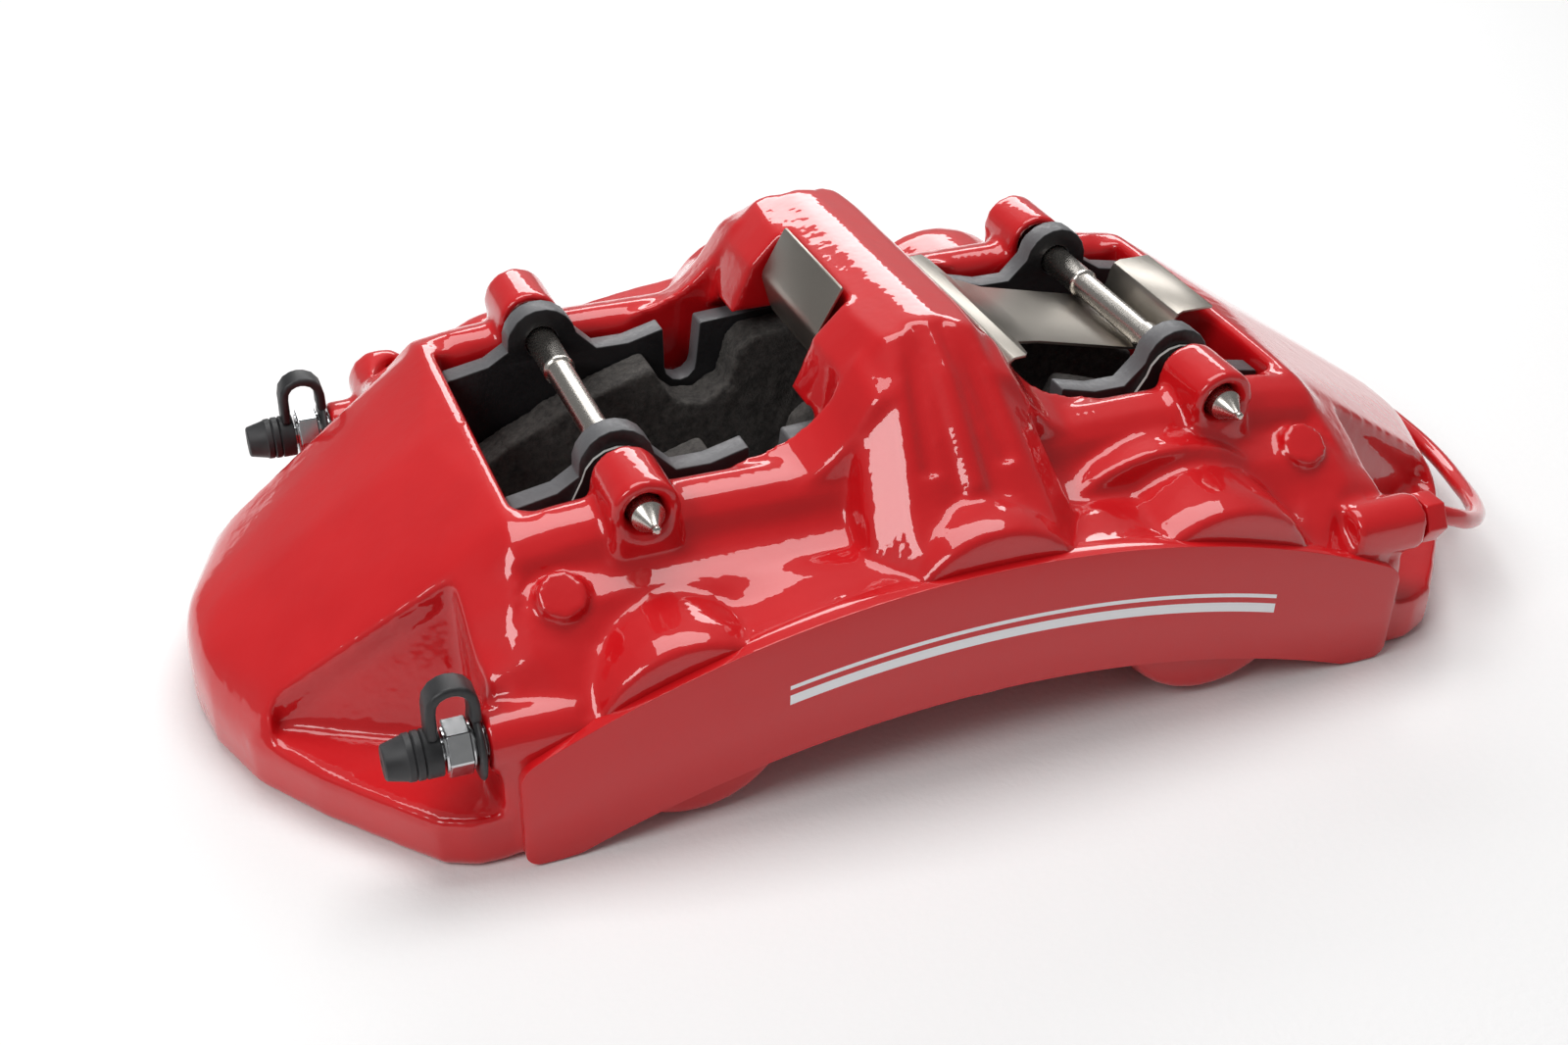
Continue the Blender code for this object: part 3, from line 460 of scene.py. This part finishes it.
mask = nodes.new("ShaderNodeMath")
mask.operation = "MULTIPLY"
links.new(stripes.outputs["Color"], mask.inputs[0])
links.new(within.outputs["Value"], mask.inputs[1])
shader = nodes["Principled BSDF"]
vary_colour(nodes, links, mask.outputs["Value"], shader, RED, STRIPE_WHITE, (0.4, 0.6))
finish_piece(arched_face, "root", "red_paint", face_paint)

# --- The two brake pads ------------------------------------------------------
# Each pad is a stamped steel plate with a moulded block of friction material,
# rough where it was pressed, and a coated shim behind it.
SIDES = ("outboard", "inboard")
PLATE_EDGE = 0.5 * MM
LINING_GRAIN = 0.8 * MM
CRUMB_SIZE = 5 * MM
CRUMB_HEIGHT = 1.5 * MM
LINING_TOP = 53 * MM


def facing_y(nodes, links):
    """How squarely the surface faces along the piston axis, from 0 on an edge to 1 on a flat."""
    facing = nodes.new("ShaderNodeNewGeometry")
    split = nodes.new("ShaderNodeSeparateXYZ")
    links.new(facing.outputs["Normal"], split.inputs["Vector"])
    size = nodes.new("ShaderNodeMath")
    size.operation = "ABSOLUTE"
    links.new(split.outputs["Y"], size.inputs[0])
    return size.outputs[0]


def coat_node(node, material):
    """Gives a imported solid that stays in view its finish."""
    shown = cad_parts[node]
    shown.data.materials.clear()
    shown.data.materials.append(material)


for side in SIDES:
    plate = copy_of_node(f"{side}_pad_plate", f"{side}_plate")
    add_modifier(
        plate, "edges", "BEVEL", width=PLATE_EDGE, segments=2, angle_limit=math.radians(50)
    )
    apply_all(plate)
    bpy.ops.object.shade_smooth_by_angle(angle=math.radians(40))
    material, nodes, links, shader, place = new_material(
        f"{side}_plate_coat", (0.012, 0.012, 0.013), 0.45
    )
    grain = add_noise(nodes, links, place, 900, 4)
    bare_edge, coat = (0.10, 0.10, 0.105), (0.010, 0.010, 0.011)
    vary_colour(nodes, links, facing_y(nodes, links), shader, bare_edge, coat, (0.5, 0.85))
    vary_roughness(nodes, links, grain, shader, 0.35, 0.55)
    add_bump(nodes, links, grain, shader, 0.25, 0.4 * MM)
    finish_piece(plate, f"{side}_pad", "plate_coating", material, f"{side}_pad_plate")

    lining = copy_of_node(f"{side}_pad_lining", f"{side}_lining")
    add_modifier(lining, "mould", "REMESH", mode="VOXEL", voxel_size=LINING_GRAIN)
    add_modifier(lining, "press", "SMOOTH", iterations=4)
    apply_all(lining)
    crumbs = bpy.data.textures.new(f"{side}_crumbs", "CLOUDS")
    crumbs.noise_scale = CRUMB_SIZE
    crumbs.noise_depth = 3
    rough = lining.vertex_groups.new(name="rough")
    for point in lining.data.vertices:
        rough.add([point.index], 0.15 if point.co.z > LINING_TOP else 1.0, "REPLACE")
    add_modifier(
        lining, "crumbs", "DISPLACE", vertex_group="rough", texture=crumbs,
        texture_coords="LOCAL", strength=CRUMB_HEIGHT, mid_level=0.55,
    )
    apply_all(lining)
    bpy.ops.object.shade_smooth()
    material, nodes, links, shader, place = new_material(
        f"{side}_friction_block", (0.04, 0.037, 0.034), 0.85
    )
    grain = add_noise(nodes, links, place, 500, 8, 0.7)
    vary_colour(nodes, links, grain, shader, (0.016, 0.014, 0.013), (0.085, 0.077, 0.070))
    add_bump(nodes, links, grain, shader, 0.8, 1.2 * MM)
    finish_piece(lining, f"{side}_pad", "friction_lining", material, f"{side}_pad_lining")

    material, nodes, links, shader, place = new_material(
        f"{side}_shim_coat", (0.015, 0.015, 0.016), 0.35
    )
    cut_edge, coat = (0.5, 0.5, 0.48), (0.012, 0.012, 0.013)
    vary_colour(nodes, links, facing_y(nodes, links), shader, cut_edge, coat, (0.45, 0.55))
    coat_node(f"{side}_pad_shim", material)

# --- Pad pins ----------------------------------------------------------------
# Turned steel pins carry the pads: a cone at the outboard end, a waist between
# the pads, and a thick end that a split sleeve holds in the inboard boss.
PIN_X = 72 * MM
PIN_Z = 64 * MM
# Along the pin, and its radius there
PIN_PROFILE = (
    (-63.2, 0.5), (-62.9, 0.95), (-62.3, 1.1), (-61.8, 1.0), (-61.4, 1.15), (-57.2, 3.5),
    (-56.9, 3.8), (-19, 3.8), (-18.4, 3.3), (12, 3.3), (12.4, 3.8), (12.7, 3.95),
    (13.3, 3.95), (13.6, 3.8), (43.5, 3.8), (43.6, 3.5), (55.4, 3.5), (55.5, 5),
    (58.4, 5), (58.9, 4.6), (58.95, 2.4), (57.5, 2.2), (57.4, 0.2),
)


def turned(name, profile, sides):
    """A piece turned about Z, from a disc that is extruded and resized along the profile."""
    (height, radius), *rest = [(height * MM, radius * MM) for height, radius in profile]
    bpy.ops.object.select_all(action="DESELECT")
    bpy.ops.mesh.primitive_circle_add(
        vertices=sides, radius=radius, fill_type="NGON", location=(0, 0, height)
    )
    piece = bpy.context.object
    piece.name = name
    settle(piece)
    open_edit()
    for next_height, next_radius in rest:
        pull_out((0, 0, next_height - height))
        ratio = next_radius / radius
        bpy.ops.transform.resize(value=(ratio, ratio, 1), center_override=(0, 0, next_height))
        height, radius = next_height, next_radius
    close_edit()
    bpy.ops.object.shade_smooth_by_angle(angle=math.radians(32))
    return piece


def steel(name, colour, roughness, scale=700):
    material, nodes, links, shader, place = new_material(name, colour, roughness, 1.0)
    grain = add_noise(nodes, links, place, scale, 5)
    dark = tuple(part * 0.93 for part in colour)
    vary_colour(nodes, links, grain, shader, dark, colour)
    vary_roughness(nodes, links, grain, shader, roughness * 0.9, roughness * 1.12)
    add_bump(nodes, links, grain, shader, 0.006, 0.1 * MM)
    return material


pin_steel = steel("turned_pin_steel", (0.56, 0.53, 0.49), 0.27, 2400)
for side, sign in (("left", -1), ("right", 1)):
    pin = turned(f"{side}_pin", PIN_PROFILE, 40)
    point_along(pin, (0, 1, 0), (sign * PIN_X, 0, PIN_Z))
    finish_piece(pin, "root", "pin_steel", pin_steel, f"{side}_pad_pin")
    coat_node(f"{side}_pin_sleeve", pin_steel)

# --- Pad spring --------------------------------------------------------------
# A folded stainless sheet: a lip hooks on the bridge, a saddle goes under it,
# and the tongue passes under the right-hand pin and turns up into a plate.
SHEET = 0.8 * MM
# Along the caliper, up, and half the width of the sheet there
SPRING_STATIONS = (
    (-11.2, 90.1, 17.6), (-11.6, 89.9, 18), (-16.6, 80.6, 18), (-17.2, 79.2, 18),
    (-17.3, 77.8, 18), (-15.3, 70.8, 18), (-14.4, 68.6, 18), (-12.4, 66.8, 18),
    (-8, 65.7, 18), (12, 65.4, 18), (21, 66, 22), (25.6, 66.8, 30), (26.8, 67.8, 30),
    (28, 70, 30), (29, 70.7, 30), (32, 70.8, 30), (33.2, 70.1, 28), (35.5, 68.4, 19),
    (43, 65.9, 16.2), (70, 59.4, 16.2), (78.5, 58.7, 16.2), (80.3, 59.4, 16.2),
    (81.3, 61, 16.2), (82.4, 65.2, 16.2), (83.2, 66.7, 16.2), (84.6, 67.3, 16.2),
    (93.3, 67.3, 16.2),
)
x, z, half = SPRING_STATIONS[0]
bpy.ops.object.select_all(action="DESELECT")
first_edge = [(x * MM, -half * MM, z * MM), (x * MM, half * MM, z * MM)]
spring = start_sheet("spring_sheet", first_edge, [(0, 1)], [])
for next_x, next_z, next_half in SPRING_STATIONS[1:]:
    pull_out(((next_x - x) * MM, 0, (next_z - z) * MM))
    bpy.ops.transform.resize(
        value=(1, next_half / half, 1), center_override=(next_x * MM, 0, next_z * MM)
    )
    x, z, half = next_x, next_z, next_half
close_edit()
add_modifier(spring, "gauge", "SOLIDIFY", thickness=SHEET, offset=0)
add_modifier(spring, "edges", "BEVEL", width=0.15 * MM, segments=2)
apply_all(spring)
bpy.ops.object.shade_smooth_by_angle(angle=math.radians(40))
spring_steel = steel("rolled_spring_steel", (0.40, 0.37, 0.33), 0.36, 2600)
finish_piece(spring, "root", "spring_steel", spring_steel, "pad_spring")

# --- Bleed screws ------------------------------------------------------------
# Plated screws with a hexagon and a barbed nipple, each under a rubber cap
# whose strap loops back to a ring behind the hexagon.
BLEEDS = {
    "outboard": (-115.5 * MM, -76.5 * MM, 30 * MM),
    "inboard": (-122.5 * MM, 61.5 * MM, 31 * MM),
}
SCREW_PROFILE = (
    (-15, 1), (-12, 3.6), (2.3, 3.6), (2.4, 5.1), (8.4, 5.1), (8.5, 2.6), (12.5, 2.6),
    (13, 3.3), (15.5, 2.4),
)
CAP_PROFILE = (
    (9, 3.7), (9, 5.2), (9.2, 5.4), (12.4, 5.4), (12.7, 5.0), (13.0, 5.35), (14.2, 5.35),
    (14.6, 4.95), (14.9, 5.25), (16.1, 5.2), (16.5, 4.9), (20.6, 3.9), (20.9, 3.5),
    (21, 0.8), (20.5, 0.6),
)
ACROSS_FLATS = 11
# Depth, height of its middle, and the chamfer with its steps
SCREW_HEXAGON = (5.2 * MM, 5.4 * MM, 0.35 * MM, 2)
RING_RADIUS = 6.3 * MM
RING_WALL = 1.9 * MM
RING_FLATNESS = 0.42
RING_BACK = 1.2 * MM
STRAP_HALF = 3.2 * MM
STRAP_GAUGE = 2.3 * MM
# Out from the seat of the screw, and up from its axis
STRAP_RUN = (
    (-1.3, 7), (-1.3, 9.5), (-1.35, 11.5), (-1.8, 13.6), (-3.0, 15.2), (-4.6, 16.0),
    (-6, 16.2), (-7.4, 16.0), (-9.0, 15.2), (-10.2, 13.6), (-10.6, 11.5), (-10.6, 8),
    (-10.7, 4.6),
)


def add_hexagon(depth, height, chamfer, steps):
    """A hexagon about Z with its corners broken."""
    corner_radius = ACROSS_FLATS / math.sqrt(3) * MM
    hexagon = add_drum(corner_radius, depth, (0, 0, height), sides=6)
    add_modifier(hexagon, "chamfer", "BEVEL", width=chamfer, segments=steps)
    apply_all(hexagon)
    return hexagon


zinc = steel("zinc_plate", (0.66, 0.67, 0.68), 0.22)
rubber, nodes, links, shader, place = new_material(
    "cap_rubber_moulded", (0.012, 0.012, 0.013), 0.5
)
bloom = add_noise(nodes, links, place, 160, 5)
vary_colour(nodes, links, bloom, shader, (0.008, 0.008, 0.009), (0.03, 0.03, 0.032))
vary_roughness(nodes, links, bloom, shader, 0.4, 0.62)
add_bump(nodes, links, bloom, shader, 0.15, 0.5 * MM)
for side, (x, y, z) in BLEEDS.items():
    screw = turned(f"{side}_screw", SCREW_PROFILE, 32)
    join_into(screw, add_hexagon(*SCREW_HEXAGON))
    point_along(screw, (-1, 0, 0), (x, y, z))
    finish_piece(screw, f"{side}_bleed_screw", "screw_steel", zinc, f"{side}_bleed_screw")

    cap = turned(f"{side}_cap", CAP_PROFILE, 40)
    point_along(cap, (-1, 0, 0), (x, y, z))
    bpy.ops.object.select_all(action="DESELECT")
    bpy.ops.mesh.primitive_torus_add(
        location=(x - RING_BACK, y, z), rotation=(0, math.pi / 2, 0),
        major_segments=40, minor_segments=10, major_radius=RING_RADIUS, minor_radius=RING_WALL,
    )
    ring = bpy.context.object
    ring.scale = (1, 1, RING_FLATNESS)
    settle(ring)
    bpy.ops.object.shade_smooth()
    out, up = STRAP_RUN[0]
    first_edge = [
        (x + out * MM, y - STRAP_HALF, z + up * MM), (x + out * MM, y + STRAP_HALF, z + up * MM)
    ]
    strap = start_sheet("strap", first_edge, [(0, 1)], [])
    for next_out, next_up in STRAP_RUN[1:]:
        pull_out(((next_out - out) * MM, 0, (next_up - up) * MM))
        out, up = next_out, next_up
    bpy.ops.object.mode_set(mode="OBJECT")
    add_modifier(strap, "gauge", "SOLIDIFY", thickness=STRAP_GAUGE, offset=0)
    add_modifier(strap, "edges", "BEVEL", width=0.9 * MM, segments=4)
    apply_all(strap)
    bpy.ops.object.shade_smooth_by_angle(angle=math.radians(50))
    join_into(cap, ring, strap)
    finish_piece(cap, "root", "cap_rubber", rubber, f"{side}_bleed_cap")

# --- Crossover pipe ----------------------------------------------------------
# A steel pipe, bent by hand round the nose and painted with the casting, joins
# the two halves. A tube nut holds each end.
PIPE_RADIUS = 2.35 * MM
PIPE_BENDS = (
    (109, 77, 34), (118, 77, 34), (124, 77, 34), (130, 76.8, 31.8), (137, 74.5, 28),
    (148, 66.5, 22), (158, 54.5, 16.5), (166, 39.5, 12.5), (171.4, 22, 11), (173.0, 8, 10.8),
)
NUT_PROFILE = ((-9.8, 4.5), (0.4, 4.5), (6.4, 4.5), (6.4, 3))
NUT_HEXAGON = (5.5 * MM, 3.25 * MM, 0.45 * MM, 3)
NUT_PLACE = (117.5 * MM, 77 * MM, 34 * MM)
pipe_curve = bpy.data.curves.new("brake_pipe", "CURVE")
pipe_curve.dimensions = "3D"
pipe_curve.bevel_depth = PIPE_RADIUS
pipe_curve.bevel_resolution = 6
pipe_curve.use_fill_caps = True
spline = pipe_curve.splines.new("BEZIER")
route = [(x, -y, z) for x, y, z in PIPE_BENDS] + list(reversed(PIPE_BENDS))
spline.bezier_points.add(len(route) - 1)
spline.resolution_u = 8
for point, bend in zip(spline.bezier_points, route):
    point.co = Vector(bend) * MM
    point.handle_left_type = "AUTO"
    point.handle_right_type = "AUTO"
pipe = bpy.data.objects.new("brake_pipe", pipe_curve)
bpy.context.scene.collection.objects.link(pipe)
pick_only(pipe)
bpy.ops.object.convert(target="MESH")
pipe = bpy.context.object
open_edit()
bpy.ops.mesh.remove_doubles(threshold=0.01 * MM)
close_edit()
bpy.ops.object.shade_smooth()
pipe_paint = red_gloss("red_pipe_paint", 0.04)
finish_piece(pipe, "root", "pipe_paint", pipe_paint, "crossover_pipe")
for side, across in (("outboard", -1), ("inboard", 1)):
    collar = turned(f"{side}_nut", NUT_PROFILE, 32)
    hexagon = add_hexagon(*NUT_HEXAGON)
    bpy.ops.object.shade_smooth_by_angle(angle=math.radians(35))
    join_into(collar, hexagon)
    point_along(collar, (1, 0, 0), mirrored(NUT_PLACE, 1, across))
    finish_piece(collar, "root", "pipe_paint", pipe_paint, f"{side}_pipe_nut")

# --- Hose port plug ----------------------------------------------------------
# A moulded plug keeps dirt out of the hose port until the hose is fitted. It
# pushes in from the inboard side, and a round head stops it.
PLUG_PROFILE = (
    (-5.4, 4.2), (-4.8, 4.9), (0.3, 4.9), (0.4, 5.7), (0.8, 5.9), (3.4, 5.9), (4.0, 5.4),
    (4.1, 3.6), (2.6, 3.3), (2.6, 0.3),
)
PLUG_PLACE = (-105.5 * MM, 76 * MM, 36 * MM)
plug = turned("port_plug", PLUG_PROFILE, 40)
point_along(plug, (0, 1, 0), PLUG_PLACE)
finish_piece(plug, "root", "plug_plastic", rubber, "hose_port_plug")

# --- Pistons, seals and boots ------------------------------------------------
# The working parts sit inside: ground steel cups, square seals in grooves and
# rubber boots at the mouths of the bores.
piston_steel = steel("ground_piston_steel", (0.6, 0.6, 0.58), 0.2)
for side in SIDES:
    for bore in ("leading", "middle", "trailing"):
        coat_node(f"{side}_{bore}_piston", piston_steel)
        coat_node(f"{side}_{bore}_seal", rubber)
        coat_node(f"{side}_{bore}_dust_boot", rubber)

# --- Floor, light and camera -------------------------------------------------
# A pale bench top under a wide overhead light, with a window light on the left
# that the gloss paint mirrors. A normal lens looks down on the outboard face
# from the bleed screw end.
BENCH_GAP = 0.2 * MM
BENCH_SIZE = 8
bpy.ops.object.select_all(action="DESELECT")
bpy.ops.mesh.primitive_plane_add(size=BENCH_SIZE, location=(0, 0, -BENCH_GAP))
bench = bpy.context.object
bench.name = "bench_top"
material, nodes, links, shader, place = new_material("bench_white", (0.85, 0.85, 0.85), 0.7)
add_bump(nodes, links, add_noise(nodes, links, place, 520, 2), shader, 0.2, 0.6 * MM)
bench.data.materials.append(material)

world = bpy.data.worlds.new("studio")
world.use_nodes = True
world.node_tree.nodes["Background"].inputs["Color"].default_value = (1, 1, 1, 1)
world.node_tree.nodes["Background"].inputs["Strength"].default_value = 0.24
bpy.context.scene.world = world


def soft_light(name, place, aim, size, power):
    bpy.ops.object.select_all(action="DESELECT")
    bpy.ops.object.light_add(type="AREA", location=place)
    light = bpy.context.object
    light.name = name
    light.data.shape = "RECTANGLE"
    light.data.size, light.data.size_y = size
    light.data.energy = power
    away = Vector(place) - Vector(aim)
    light.rotation_euler = away.to_track_quat("Z", "Y").to_euler()


soft_light("overhead", (0.05, 0.25, 1.1), (0, 0, 0), (1.0, 0.6), 9.5)
soft_light("left_window", (-0.8, -0.35, 0.8), (0, 0, 0.03), (0.5, 0.4), 5)
soft_light("back_strip", (0.3, 0.9, 0.55), (0, 0, 0.05), (0.9, 0.25), 4)

CAMERA_PLACE = (-0.1741, -0.3855, 0.2856)
CAMERA_AZIMUTH = -22.09
CAMERA_ELEVATION = 32.954
CAMERA_ROLL = 1.189
CAMERA_LENS = 43.83
bpy.ops.object.select_all(action="DESELECT")
bpy.ops.object.camera_add()
camera = bpy.context.object
camera.name = "bench_camera"
camera.data.lens = CAMERA_LENS
camera.data.sensor_width = 36
camera.data.clip_start = 0.01
stand = Matrix.Translation(CENTRE + Vector(CAMERA_PLACE))
turn_round = Matrix.Rotation(math.radians(CAMERA_AZIMUTH), 4, "Z")
tip_down = Matrix.Rotation(math.radians(90 - CAMERA_ELEVATION), 4, "X")
roll_over = Matrix.Rotation(math.radians(CAMERA_ROLL), 4, "Z")
camera.matrix_world = stand @ turn_round @ tip_down @ roll_over
bpy.context.scene.camera = camera
bpy.context.scene.view_settings.view_transform = "Standard"
